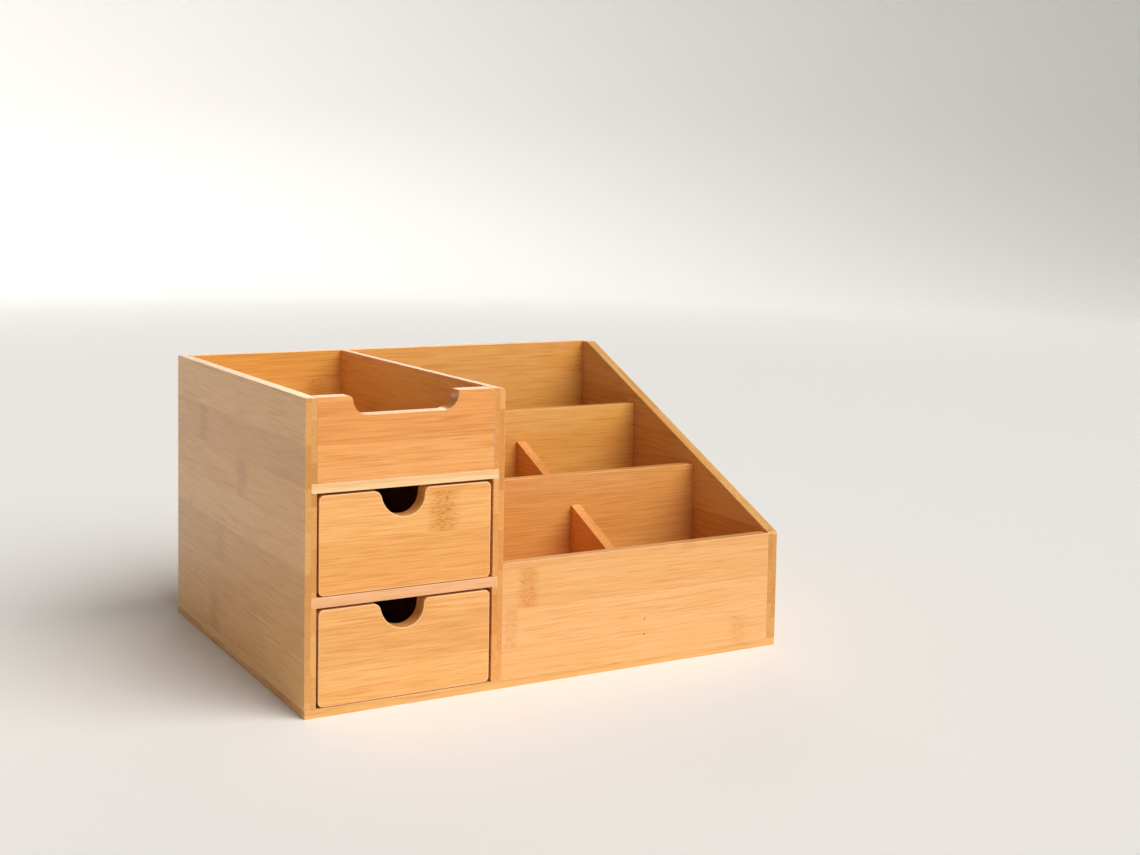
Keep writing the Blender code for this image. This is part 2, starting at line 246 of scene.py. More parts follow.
def turned(name: str, profile: np.ndarray, centre: Sequence[float], way: Sequence[float],
           around: int = 20) -> bpy.types.Object:
    """A pin turned about an axis: the point at angle a of the ring at distance d has radius r(d).

    Args:
        name: Name of the piece.
        profile: Rows of (distance, radius) from head to tip; the ends are closed by a centre point.
        centre: Where distance 0 lies.
        way: Unit vector along the pin, parallel to an axis of the frame.
        around: Number of sides.

    Returns:
        The closed pin.
    """
    along = np.asarray(way, dtype=float)
    first = np.roll(np.abs(along), 1)
    second = np.cross(along, first)
    angle = np.linspace(0, 2 * math.pi, around, endpoint=False)
    round_off = np.cos(angle)[:, None] * first + np.sin(angle)[:, None] * second
    rings = profile[:, 0][:, None, None] * along + profile[:, 1][:, None, None] * round_off[None]
    ends = profile[[0, -1], 0][:, None] * along
    points = np.concatenate([rings.reshape(-1, 3), ends]) + np.asarray(centre)
    here = np.arange(around)
    there = np.roll(here, -1)
    last = (len(profile) - 1) * around
    faces = ring_quads(len(profile), around)
    faces += [[len(points) - 2, b, a] for a, b in zip(here, there)]
    faces += [[len(points) - 1, last + a, last + b] for a, b in zip(here, there)]
    return new_piece(name, points, faces)


def drill(board: bpy.types.Object, holes: list[bpy.types.Object]) -> None:
    """Take pin holes or dados out of a board and leave a plain mesh.

    Args:
        board: The board to drill.
        holes: Closed cutters, which are removed afterwards.
    """
    for hole in holes:
        cut = board.modifiers.new("hole", "BOOLEAN")
        cut.operation = "DIFFERENCE"
        cut.solver = "EXACT"
        cut.object = hole
    bpy.context.view_layer.update()
    seen = board.evaluated_get(bpy.context.evaluated_depsgraph_get())
    mesh = bpy.data.meshes.new_from_object(seen)
    board.modifiers.clear()
    old = board.data
    mesh.name = old.name
    board.data = mesh
    bpy.data.meshes.remove(old)
    mesh.shade_smooth()
    mesh.set_sharp_from_angle(angle=SHARP)
    for hole in holes:
        bpy.data.objects.remove(hole, do_unlink=True)


# ---------------------------------------------------------------- finishes


def linear(colour: str) -> tuple[float, float, float, float]:
    """Linear light of an sRGB hex colour such as "#E8A050", with alpha 1."""
    values = [int(colour[place:place + 2], 16) / 255 for place in (1, 3, 5)]
    light = [value / 12.92 if value <= 0.04045 else ((value + 0.055) / 1.055) ** 2.4 for value in values]
    return (*light, 1.0)


def add(tree: bpy.types.NodeTree, kind: str, inputs: dict | None = None, **settings) -> bpy.types.Node:
    """Add a node with its settings and links.

    Args:
        tree: The node tree.
        kind: Node type without "ShaderNode", or in full.
        inputs: Plain values, sockets, or nodes for their first output, by input name or number.
        settings: Attributes of the node.

    Returns:
        The new node.
    """
    full = kind if kind.startswith("Node") else "ShaderNode" + kind
    made = tree.nodes.new(full)
    for name, value in settings.items():
        setattr(made, name, value)
    for name, value in (inputs or {}).items():
        if isinstance(value, bpy.types.Node):
            value = value.outputs[0]
        if isinstance(value, bpy.types.NodeSocket):
            tree.links.new(value, made.inputs[name])
        else:
            made.inputs[name].default_value = value
    return made


@dataclass(frozen=True)
class Knuckle:
    """A node of the bamboo cane, which shows as a ragged dark band across one strip.

    Attributes:
        place: Where it lies along the grain, in metres.
        strip: Number of the strip above the board's seam; the one below it is -1.
        ply: Number of the ply, from the board's low face.
        strength: How dark it is.
        reach: How far it spreads to each side along the grain, in metres.
    """

    place: float
    strip: int
    ply: int = 0
    strength: float = 1.0
    reach: float = 5.5 * MM


@dataclass(frozen=True)
class Cut:
    """How a board was cut from the laminated panel.

    Attributes:
        grain: Axis along the fibres.
        across: Axis across the strips.
        through: Axis through the plies.
        seam: Where a glue line between two strips lies on the across axis.
        face: Where the first ply starts on the through axis.
        seed: Picks the cane that the strips come from.
        knuckles: The cane's nodes that show.
    """

    grain: Axis
    across: Axis
    through: Axis
    seam: float
    face: float
    seed: float
    knuckles: tuple[Knuckle, ...] = ()


@dataclass(frozen=True)
class Bamboo:
    """Laminated moso bamboo, sprayed with a thin clear lacquer after sanding.

    The strips are 24 mm wide and lie in plies. The eye sees straight fibres a few tenths of a millimetre
    thick, small steps of tone from strip to strip, ragged bands at the cane's nodes and a fine speckle of
    fibre ends where a board is cut across. The eased edges are paler, partly from sanding and partly as a
    painted highlight.

    Attributes:
        name: Name of the finish.
        pale: sRGB colour of the lightest wood between fibres.
        mid: sRGB colour of the common ground.
        deep: sRGB colour of the darkest fibres.
        knuckle: sRGB colour of the dashes in a node.
        edge: sRGB colour of the eased edges, pale partly from sanding and partly as a painted highlight.
        end_tint: sRGB tint of the fibre ends.
        edge_wear_and_highlight: How far the eased edges take the edge colour, partly sanding and partly a
            painted highlight.
        steps: How far strips differ in tone.
        roughness: Roughness of the lacquer.
        uneven: How far that changes between fibres.
    """

    name: str
    pale: str
    mid: str
    deep: str
    knuckle: str
    # pale edge colour: partly sanding, partly a painted highlight
    edge: str = "#FFE3BC"
    end_tint: str = "#F3EBDD"
    edge_wear_and_highlight: float = 0.3
    steps: float = 0.35
    roughness: float = 0.28
    uneven: float = 0.06

    def material(self, board: str, cut: Cut) -> bpy.types.Material:
        """The finish on one board.

        Args:
            board: Name of the board.
            cut: How the board was cut.

        Returns:
            The material, with its pattern in the board's own grain directions.
        """
        made = bpy.data.materials.new(f"{self.name}_{board}")
        made.use_nodes = True
        tree = made.node_tree
        tree.nodes.clear()
        place = add(tree, "TexCoord").outputs["Object"]
        apart = add(tree, "SeparateXYZ", {0: place}).outputs
        across = add(tree, "Math", {0: apart[cut.across.value], 1: cut.seam}, operation="SUBTRACT")
        through = add(tree, "Math", {0: apart[cut.through.value], 1: cut.face}, operation="SUBTRACT")
        facing = add(tree, "SeparateXYZ", {0: add(tree, "TexCoord").outputs["Normal"]}).outputs
        facing = add(tree, "Math", {0: facing[cut.grain.value]}, operation="ABSOLUTE")
        cut_across = add(tree, "MapRange", {"Value": facing, "From Min": 0.5, "From Max": 0.85})
        wood = add(tree, "Group", {
            "Grain": apart[cut.grain.value], "Across": across, "Through": through,
            "Seed": cut.seed, "Steps": self.steps, "End": cut_across}, node_tree=grain_group())
        bands: bpy.types.Node | float = 0.0
        for knuckle in cut.knuckles:
            band = add(tree, "Group", {
                "Grain": wood.outputs["Ragged"], "Strip": wood.outputs["Strip"],
                "Ply": wood.outputs["Ply"], "Place": knuckle.place, "At strip": float(knuckle.strip),
                "At ply": float(knuckle.ply), "Strength": knuckle.strength,
                "Outer": 1.7 * knuckle.reach, "Inner": 0.3 * knuckle.reach}, node_tree=knuckle_group())
            bands = add(tree, "Math", {0: bands, 1: band}, operation="MAXIMUM")
        ramp = add(tree, "ValToRGB", {0: wood.outputs["Tone"]})
        ramp.color_ramp.interpolation = "LINEAR"
        stops = ramp.color_ramp.elements
        stops[0].position, stops[0].color = 0.15, linear(self.deep)
        stops[1].position, stops[1].color = 0.85, linear(self.pale)
        middle = stops.new(0.5)
        middle.color = linear(self.mid)
        dashes = add(tree, "Math", {0: bands, 1: wood.outputs["Dashes"]}, operation="MULTIPLY")
        colour = add(tree, "Mix", {0: dashes, 6: ramp, 7: linear(self.knuckle)},
                     data_type="RGBA").outputs[2]
        colour = add(tree, "Mix", {0: wood.outputs["Glue"], 6: colour, 7: linear(self.deep)},
                     data_type="RGBA").outputs[2]
        colour = add(tree, "Mix", {0: cut_across, 6: colour, 7: linear(self.end_tint)},
                     data_type="RGBA", blend_type="MULTIPLY").outputs[2]
        # eased edges are mixed towards the pale edge colour: partly sanded wood, partly a painted highlight
        rim = add(tree, "Attribute", attribute_name="rim").outputs["Fac"]
        rim = add(tree, "Math", {0: rim, 1: self.edge_wear_and_highlight}, operation="MULTIPLY")
        colour = add(tree, "Mix", {0: rim, 6: colour, 7: linear(self.edge)}, data_type="RGBA").outputs[2]
        bump = add(tree, "Bump", {"Strength": 0.25, "Distance": 0.12 * MM, "Height": wood.outputs["Relief"]})
        rough = add(tree, "MapRange", {
            "Value": wood.outputs["Relief"],
            "To Min": self.roughness + self.uneven, "To Max": self.roughness - self.uneven})
        shader = add(tree, "BsdfPrincipled", {
            "Base Color": colour, "Roughness": rough, "IOR": 1.5, "Normal": bump})
        add(tree, "OutputMaterial", {"Surface": shader})
        return made


def group_tree(name: str, inputs: Sequence[str], outputs: Sequence[str]) -> bpy.types.NodeTree:
    """An empty node group with number sockets."""
    tree = bpy.data.node_groups.new(name, "ShaderNodeTree")
    for socket in inputs:
        tree.interface.new_socket(socket, in_out="INPUT", socket_type="NodeSocketFloat")
    for socket in outputs:
        tree.interface.new_socket(socket, in_out="OUTPUT", socket_type="NodeSocketFloat")
    return tree


def knuckle_group() -> bpy.types.NodeTree:
    """A cane node's strength near its place, on its own strip and ply; it fades from Inner to Outer."""
    made = bpy.data.node_groups.get("cane_knuckle")
    if made:
        return made
    tree = group_tree("cane_knuckle", (
        "Grain", "Strip", "Ply", "Place", "At strip", "At ply", "Strength", "Outer", "Inner"), ("Band",))
    given = add(tree, "NodeGroupInput").outputs
    away = add(tree, "Math", {0: given["Grain"], 1: given["Place"]}, operation="SUBTRACT")
    away = add(tree, "Math", {0: away}, operation="ABSOLUTE")
    near = add(tree, "MapRange", {
        "Value": away, "From Min": given["Outer"], "From Max": given["Inner"]},
        interpolation_type="SMOOTHSTEP")
    strip = add(tree, "Math", {0: given["Strip"], 1: given["At strip"], 2: 0.5}, operation="COMPARE")
    ply = add(tree, "Math", {0: given["Ply"], 1: given["At ply"], 2: 0.5}, operation="COMPARE")
    own = add(tree, "Math", {0: strip, 1: ply}, operation="MULTIPLY")
    band = add(tree, "Math", {0: own, 1: near}, operation="MULTIPLY")
    band = add(tree, "Math", {0: band, 1: given["Strength"]}, operation="MULTIPLY")
    add(tree, "NodeGroupOutput", {"Band": band})
    return tree


def grain_group() -> bpy.types.NodeTree:
    """The wood's pattern from its place along the grain, across the strips and through the plies.

    Strip and ply numbers are the whole parts of the distance over their widths. White noise on them
    shifts each strip's tone and moves its fibres, which are noise drawn out along the grain.
    """
    made = bpy.data.node_groups.get("bamboo_grain")
    if made:
        return made
    tree = group_tree("bamboo_grain", ("Grain", "Across", "Through", "Seed", "Steps", "End"), (
        "Tone", "Relief", "Dashes", "Ragged", "Strip", "Ply", "Glue"))
    given = add(tree, "NodeGroupInput").outputs

    ply = add(tree, "Math", {0: given["Through"], 1: PLY}, operation="DIVIDE")
    ply = add(tree, "Math", {0: ply}, operation="FLOOR")
    widths = add(tree, "Math", {0: given["Across"], 1: STRIP_WIDTH}, operation="DIVIDE")
    widths = add(tree, "Math", {0: ply, 1: 0.42, 2: widths}, operation="MULTIPLY_ADD")
    strip = add(tree, "Math", {0: widths}, operation="FLOOR")
    within = add(tree, "Math", {0: widths}, operation="FRACT")
    owner = add(tree, "CombineXYZ", {0: strip, 1: ply, 2: given["Seed"]})
    chance = add(tree, "TexWhiteNoise", {"Vector": owner}, noise_dimensions="3D").outputs

    # fibres wander by half a millimetre, and each strip has its own
    lie = add(tree, "CombineXYZ", {0: given["Grain"], 1: given["Across"], 2: given["Through"]})
    lie = add(tree, "VectorMath", {0: chance["Color"], 1: (0.9, 0.9, 0.9), 2: lie},
              operation="MULTIPLY_ADD")
    slow = add(tree, "VectorMath", {0: lie, 1: (9.0, 60.0, 60.0)}, operation="MULTIPLY")
    wander = add(tree, "TexNoise", {"Vector": slow, "Scale": 1.0, "Detail": 1.0})
    shift = add(tree, "VectorMath", {0: wander.outputs["Color"], 1: (0.5, 0.5, 0.5)}, operation="SUBTRACT")
    lie = add(tree, "VectorMath", {0: shift, 1: (0.0, 1.4 * MM, 1.4 * MM), 2: lie},
              operation="MULTIPLY_ADD")

    def drawn_out(along: float, over: float, detail: float, rough: float) -> bpy.types.NodeSocket:
        """Noise with so many cycles in a metre along the grain and over it; 1300 lie 0.8 mm apart."""
        scaled = add(tree, "VectorMath", {0: lie, 1: (along, over, over)}, operation="MULTIPLY")
        noise = add(tree, "TexNoise", {
            "Vector": scaled, "Scale": 1.0, "Detail": detail, "Roughness": rough})
        return noise.outputs["Fac"]

    broad = drawn_out(4.0, 55.0, 2.0, 0.5)
    streak = drawn_out(12.0, 520.0, 3.0, 0.6)
    fine = drawn_out(34.0, 1300.0, 2.0, 0.6)
    fibre = add(tree, "MapRange", {
        "Value": drawn_out(30.0, 1150.0, 1.0, 0.4), "From Min": 0.56, "From Max": 0.70},
        interpolation_type="SMOOTHSTEP")
    cells = add(tree, "VectorMath", {0: lie, 1: (14.0, 950.0, 950.0)}, operation="MULTIPLY")
    bundle = add(tree, "TexVoronoi", {"Vector": cells, "Scale": 1.0}, feature="F1")
    bundle = add(tree, "MapRange", {
        "Value": bundle.outputs["Distance"], "From Min": 0.42, "From Max": 0.12},
        interpolation_type="SMOOTHSTEP")

    step = add(tree, "Math", {0: chance["Value"], 1: 0.5}, operation="SUBTRACT")
    reach = add(tree, "Math", {0: given["End"], 1: 0.2, 2: given["Steps"]}, operation="MULTIPLY_ADD")
    tone = add(tree, "Math", {0: step, 1: reach, 2: 0.5},
               operation="MULTIPLY_ADD")
    for source, weight in ((broad, 0.38), (streak, 0.36), (fine, 0.95)):
        centred = add(tree, "Math", {0: source, 1: 0.5}, operation="SUBTRACT")
        tone = add(tree, "Math", {0: centred, 1: weight, 2: tone}, operation="MULTIPLY_ADD")
    for source, weight in ((bundle, -0.10), (fibre, -0.34)):
        tone = add(tree, "Math", {0: source, 1: weight, 2: tone}, operation="MULTIPLY_ADD")

    # a knuckle's dashes lie askew and are a few millimetres long
    place = add(tree, "CombineXYZ", {0: given["Grain"], 1: given["Across"], 2: given["Through"]})
    rough_cells = add(tree, "VectorMath", {0: place, 1: (330.0, 1500.0, 1500.0)},
                      operation="MULTIPLY")
    speck = add(tree, "TexNoise", {
        "Vector": rough_cells, "Scale": 1.0, "Detail": 1.0, "Roughness": 0.5, "Distortion": 0.5})
    dashes = add(tree, "MapRange", {
        "Value": speck.outputs["Fac"], "From Min": 0.50, "From Max": 0.66, "To Min": 0.34, "To Max": 1.0},
        interpolation_type="SMOOTHSTEP")
    torn = add(tree, "VectorMath", {0: place, 1: (120.0, 420.0, 120.0)}, operation="MULTIPLY")
    torn = add(tree, "TexNoise", {"Vector": torn, "Scale": 1.0, "Detail": 3.0})
    torn = add(tree, "Math", {0: torn.outputs["Fac"], 1: 0.5}, operation="SUBTRACT")
    ragged = add(tree, "Math", {0: torn, 1: 9.0 * MM, 2: given["Grain"]}, operation="MULTIPLY_ADD")

    far_side = add(tree, "Math", {0: 1.0, 1: within}, operation="SUBTRACT")
    edge = add(tree, "Math", {0: within, 1: far_side}, operation="MINIMUM")
    glue = add(tree, "MapRange", {
        "Value": edge, "From Min": 0.011, "From Max": 0.004, "To Max": 0.35})
    relief = add(tree, "Math", {0: fine, 1: 0.5, 2: streak}, operation="MULTIPLY_ADD")
    add(tree, "NodeGroupOutput", {
        "Tone": tone, "Relief": relief, "Dashes": dashes, "Ragged": ragged,
        "Strip": strip, "Ply": ply, "Glue": glue})
    return tree


@dataclass(frozen=True)
class DrawnSteel:
    """Drawn steel wire of a pin nail: dull grey with a brown cast where lacquer has run into the hole."""

    name: str = "drawn_steel"
    clean: str = "#8A837A"
    stained: str = "#4A3A2C"

    def material(self) -> bpy.types.Material:
        """The finish, the same on every pin."""
        made = bpy.data.materials.get(self.name)
        if made:
            return made
        made = bpy.data.materials.new(self.name)
        made.use_nodes = True
        tree = made.node_tree
        tree.nodes.clear()
        place = add(tree, "TexCoord").outputs["Object"]
        grime = add(tree, "TexNoise", {"Vector": place, "Scale": 2600.0, "Detail": 3.0})
        colour = add(tree, "Mix", {0: grime.outputs["Fac"], 6: linear(self.stained), 7: linear(self.clean)},
                     data_type="RGBA").outputs[2]
        rough = add(tree, "MapRange", {"Value": grime.outputs["Fac"], "To Min": 0.6, "To Max": 0.35})
        shader = add(tree, "BsdfPrincipled", {
            "Base Color": colour, "Metallic": 1.0, "Roughness": rough})
        add(tree, "OutputMaterial", {"Surface": shader})
        return made


# Boards of one batch differ a little: those at the back more golden, the tray front and the row dividers more
# orange, the low front and the shelves paler, and the drawer fronts rubbed, with paler edges that are partly
# a painted highlight.
# The outer boards are a darker, duller copy of the honey wood: painted shade.
BLUSH = Bamboo("blush_bamboo", pale="#F2BC8C", mid="#ECB07E", deep="#DFA26E", knuckle="#C87A14")
HONEY = Bamboo("honey_bamboo", pale="#F5BC78", mid="#EEAA5D", deep="#DE954B", knuckle="#C87A14")
# a darker, duller copy of the honey wood that paints the shade on the outer boards
PAINTED_SHADE_OLIVE = Bamboo("painted_shade_olive_bamboo", pale="#EBB876", mid="#E4AA61", deep="#D1944C", knuckle="#AE6E28", steps=0.5)
GOLD = Bamboo("golden_bamboo", pale="#F2BA68", mid="#EAA751", deep="#DA9240", knuckle="#C67814")
# the drawer fronts get still paler eased edges: partly rubbing, partly a painted highlight
RUBBED_AND_HIGHLIT_HONEY = replace(HONEY, name="rubbed_and_highlit_honey_bamboo", edge_wear_and_highlight=0.35)
RUBBED_AND_HIGHLIT_STRAW = Bamboo("rubbed_and_highlit_straw_bamboo", pale="#F4BF80", mid="#EDAF67", deep="#DD994F", knuckle="#C87A14",
                      edge_wear_and_highlight=0.35)
AMBER = Bamboo("amber_bamboo", pale="#F3B16C", mid="#ECA156", deep="#DA8A43", knuckle="#C07018", edge_wear_and_highlight=0.05)
STRAW = Bamboo("straw_bamboo", pale="#F2BC80", mid="#EDAF6C", deep="#E1A05B", knuckle="#CC7E1C")
CREAM = Bamboo("cream_bamboo", pale="#F8D4A2", mid="#F4C992", deep="#EABA80", knuckle="#B27A40")


# ---------------------------------------------------------------- boards


@dataclass
class Boards:
    """Boards that ride on one body.

    Attributes:
        body: Name of the body.
        made: The pieces so far, by node name.
    """

    body: str
    made: dict[str, bpy.types.Object] = field(default_factory=dict)

    def keep(self, piece: bpy.types.Object, node: str, finish: Bamboo, cut: Cut, slot: str) -> None:
        """Dress a board and let it take the place of its CAD node.

        Args:
            piece: The new board.
            node: The CAD node that it replaces.
            finish: Its finish.
            cut: How it was cut.
            slot: The record's material slot; not used.
        """
        piece.data.materials.clear()
        piece.data.materials.append(finish.material(node, cut))
        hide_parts(node)
        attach(piece, self.body)
        self.made[node] = piece
        log.info("%s rides on %s: %d faces", piece.name, self.body, len(piece.data.polygons))


def seated_box(node: str, glued: Side) -> tuple[Vector, Vector]:
    """A node's box, grown across the glue gap on the sides that meet a neighbour."""
    low, high = (Vector(corner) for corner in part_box(node))
    grow = GLUE_GAP - HAIRLINE
    low -= Vector([grow * bool(glued & side) for side in (Side.LEFT, Side.FRONT, Side.DOWN)])
    high += Vector([grow * bool(glued & side) for side in (Side.RIGHT, Side.BACK, Side.UP)])
    return low, high


def plain_board(node: str, through: Axis, glued: Side) -> bpy.types.Object:
    """A rectangular board with eased edges."""
    low, high = seated_box(node, glued)
    first, second = (axis for axis in range(3) if axis != through.value)
    corners = [(low[first], low[second]), (high[first], low[second]), (high[first], high[second]),
               (low[first], high[second])]
    start = low[through.value]
    return slab(f"{node}_board", filleted(corners, [CORNER] * 4), through, start, high[through.value] - start)


def grooved_board(node: str, along: Axis, glued: Side, grooves: Sequence[tuple[float, float, float]],
                  on_high_side: bool, rounded: float = CORNER) -> bpy.types.Object:
    """A board with straight grooves in one face: its section swept along the grooves.

    Args:
        node: The CAD node.
        along: Axis along the grooves, X or Y.
        glued: Sides that meet a neighbour.
        grooves: (lowest Z, highest Z, depth) of each groove, from the bottom up.
        on_high_side: True when the grooves are in the face with the larger X or Y.
        rounded: Radius of the top edge of the other face.

    Returns:
        The board.
    """
    low, high = seated_box(node, glued)
    other = 0 if along is Axis.Y else 1
    open_face, closed_face = (high[other], low[other]) if on_high_side else (low[other], high[other])
    inward = -1.0 if on_high_side else 1.0
    corners = [(closed_face, high.z), (closed_face, low.z), (open_face, low.z)]
    radii = [rounded, CORNER, CORNER]
    for bottom, top, depth in grooves:
        floor = open_face + inward * depth
        corners += [(open_face, bottom), (floor, bottom), (floor, top), (open_face, top)]
        radii += [0.0] * 4
    corners.append((open_face, high.z))
    radii.append(CORNER)
    start = low[along.value]
    return slab(f"{node}_board", filleted(corners, radii), along, start, high[along.value] - start)


@dataclass(frozen=True)
class DipEnd:
    """One end of a dip.

    Attributes:
        lean: How far its wall leans outwards on the way up.
        reach: Length of its floor curve, along the floor and along the wall.
        shoulder: Radius of the shoulder that the edge rolls over.
    """

    lean: float
    reach: float
    shoulder: float

    def floor_radius(self, depth: float) -> float:
        """Radius of the arc that leaves floor and wall at a distance of reach from their corner.

        The two lines meet at a turn of 90 degrees less the wall's lean, and an arc of radius r touches
        both at r x tan(turn / 2) from the corner.
        """
        turn = math.pi / 2 - math.atan(self.lean / depth)
        return self.reach / math.tan(turn / 2)


@dataclass(frozen=True)
class Dip:
    """A dip in a board's top edge.

    Attributes:
        width: Width of its floor between the feet of its walls.
        depth: Depth below the rim.
        offset: Distance of its middle from the board's middle.
        left: Its left end.
        right: Its right end.
    """

    width: float
    depth: float
    offset: float
    left: DipEnd
    right: DipEnd


def dipped_front(node: str, glued: Side, dip: Dip, corner: float, ease: float) -> bpy.types.Object:
    """A front board with a dip in its top edge.

    Args:
        node: The CAD node.
        glued: Sides that meet a neighbour.
        dip: Shape of the dip.
        corner: Radius of the board's corners.
        ease: Radius of its eased edges.

    Returns:
        The board.
    """
    low, high = seated_box(node, glued)
    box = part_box(node)
    middle = (box[0][0] + box[1][0]) / 2 + dip.offset
    left, right = middle - dip.width / 2, middle + dip.width / 2
    floor = high.z - dip.depth
    corners = [(low.x, low.z), (high.x, low.z), (high.x, high.z), (right + dip.right.lean, high.z),
               (right, floor), (left, floor), (left - dip.left.lean, high.z), (low.x, high.z)]
    radii = [corner, corner, corner, dip.right.shoulder, dip.right.floor_radius(dip.depth),
             dip.left.floor_radius(dip.depth), dip.left.shoulder, corner]
    return slab(f"{node}_board", filleted(corners, radii), Axis.Y, low.y, high.y - low.y, ease)


def along_x(seam: float, face: float, seed: float, *knuckles: Knuckle) -> Cut:
    """Cut of an upright board with its grain from left to right."""
    return Cut(Axis.X, Axis.Z, Axis.Y, seam, face, seed, knuckles)


def along_y(seam: float, face: float, seed: float, *knuckles: Knuckle) -> Cut:
    """Cut of an upright board with its grain from front to back."""
    return Cut(Axis.Y, Axis.Z, Axis.X, seam, face, seed, knuckles)


def lying(seam: float, face: float, seed: float, *knuckles: Knuckle) -> Cut:
    """Cut of a lying board with its grain from left to right."""
    return Cut(Axis.X, Axis.Y, Axis.Z, seam, face, seed, knuckles)


@dataclass
class Carcass(Boards):
    """The outer boards, the centre divider and the shelves that are let into dados.

    Attributes:
        overcut: How far a cutter stands out of the board.
        divider_round: Radius of the top edge of the centre divider's plain face.
        slope_top: Radius where the sloping edge meets the level one.
        slope_foot: Radius of the front end of the sloping edge.
    """

    body: str = "carcass"
    overcut: float = 1 * MM
    divider_round: float = 2.5 * MM
    slope_top: float = 2 * MM
    slope_foot: float = 3 * MM

    def dados(self, open_face: float) -> list[tuple[float, float, float]]:
        """The grooves for both shelves in a board whose grooved face lies at this X."""
        grooves = []
        for shelf in SHELVES:
            low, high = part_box(shelf)
            end = low[0] if abs(low[0] - open_face) < abs(high[0] - open_face) else high[0]
            grooves.append((low[2] - HAIRLINE, high[2] + HAIRLINE, abs(end - open_face) + HAIRLINE))
        return grooves

    def stopped_dado(self, shelf: str, open_face: float) -> bpy.types.Object:
        """The cutter of a dado that starts in the front edge and stops where its shelf ends.

        Args:
            shelf: The shelf that it holds.
            open_face: X of the face that it opens in, to the right of it.

        Returns:
            The closed cutter.
        """
        low, high = seated_box(shelf, Side.LEFT | Side.BACK)
        front, back = low.y - self.overcut, high.y + HAIRLINE
        bottom, top = low.z - HAIRLINE, high.z + HAIRLINE
        outline = np.array([(front, bottom), (back, bottom), (back, top), (front, top)])
        start = low.x - HAIRLINE
        return slab(f"{shelf}_dado", outline, Axis.X, start, open_face + self.overcut - start, HAIRLINE)

    def build(self) -> None:
        """Make and dress the boards."""
        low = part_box("bottom_board")[0]
        # the bottom board takes the darker copy as painted shade near the floor
        self.keep(plain_board("bottom_board", Axis.Z, Side.NONE), "bottom_board", PAINTED_SHADE_OLIVE,
                  lying(low[1] + 4 * MM, low[2] - 1 * MM, 3.0, Knuckle(0.05, 0), Knuckle(-0.11, 4)),
                  "bamboo_shelf")

        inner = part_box("left_side_panel")[1][0]
        piece = plain_board("left_side_panel", Axis.X, Side.DOWN)
        drill(piece, [self.stopped_dado(shelf, inner) for shelf in SHELVES])
        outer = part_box("left_side_panel")[0][0]
        # the left side takes the darker copy as painted shade
        self.keep(piece, "left_side_panel", PAINTED_SHADE_OLIVE, along_y(
            0.0335, outer, 11.0, Knuckle(0.063, 4, 0, 0.7, 8 * MM), Knuckle(-0.014, 3, 0, 0.6, 8 * MM),
            Knuckle(0.026, 1, 0, 0.3, 8 * MM), Knuckle(0.039, -1, 0, 0.55, 8 * MM)), "bamboo_side")

        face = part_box("centre_divider")[0][0]
        piece = grooved_board("centre_divider", Axis.Y, Side.DOWN | Side.BACK, self.dados(face), False,
                              self.divider_round)
        self.keep(piece, "centre_divider", HONEY, along_y(0.0335, face, 23.0), "bamboo_inner")

        low, high = seated_box("right_side_panel", Side.DOWN)
        front_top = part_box("front_panel")[1][2]
        corners = [(low.y, low.z), (high.y, low.z), (high.y, high.z), (high.y - SIDE_FLAT, high.z),
                   (low.y, front_top)]
        outline = filleted(corners, [CORNER, CORNER, CORNER, self.slope_top, self.slope_foot])
        piece = slab("right_side_panel_board", outline, Axis.X, low.x, high.x - low.x)
        # the right side takes the darker copy as painted shade
        self.keep(piece, "right_side_panel", PAINTED_SHADE_OLIVE, along_y(
            0.0285, low.x, 31.0, Knuckle(-0.03, 1), Knuckle(0.07, 3, 1), Knuckle(-0.07, 0, 1)), "bamboo_side")

        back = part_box("back_panel")[0][1]
        piece = plain_board("back_panel", Axis.Y, Side.LEFT | Side.RIGHT | Side.DOWN)
        self.keep(piece, "back_panel", GOLD, along_x(
            0.0155, back, 43.0, Knuckle(-0.066, 5, 0, 0.7), Knuckle(0.02, 3, 1), Knuckle(-0.09, 1, 1)),
            "bamboo_inner")

        for number, (shelf, finish) in enumerate(zip(SHELVES, (BLUSH, CREAM))):
            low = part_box(shelf)[0]
            piece = plain_board(shelf, Axis.Z, Side.LEFT | Side.RIGHT | Side.BACK)
            self.keep(piece, shelf, finish, lying(
                low[1] + 19 * MM, low[2] - 1 * MM, 51.0 + number, Knuckle(-0.09, 2, 1)), "bamboo_shelf")


@dataclass
class Tray(Boards):
    """The front of the open tray, with a scoop that was cut a little unevenly by hand.

    Attributes:
        scoop: Shape of the scoop.
    """

    body: str = "carcass"
    scoop: Dip = Dip(63.8 * MM, 11.2 * MM, -0.1 * MM, DipEnd(3.0 * MM, 7.0 * MM, 2.5 * MM),
                     DipEnd(0.2 * MM, 9.9 * MM, 1.0 * MM))

    def build(self) -> None:
        """Make and dress the tray front."""
        piece = dipped_front("tray_front", Side.LEFT | Side.RIGHT | Side.DOWN, self.scoop, CORNER, EASE)
        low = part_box("tray_front")[0]
        self.keep(piece, "tray_front", AMBER, along_x(low[2] + 21 * MM, low[1], 61.0), "bamboo_face")


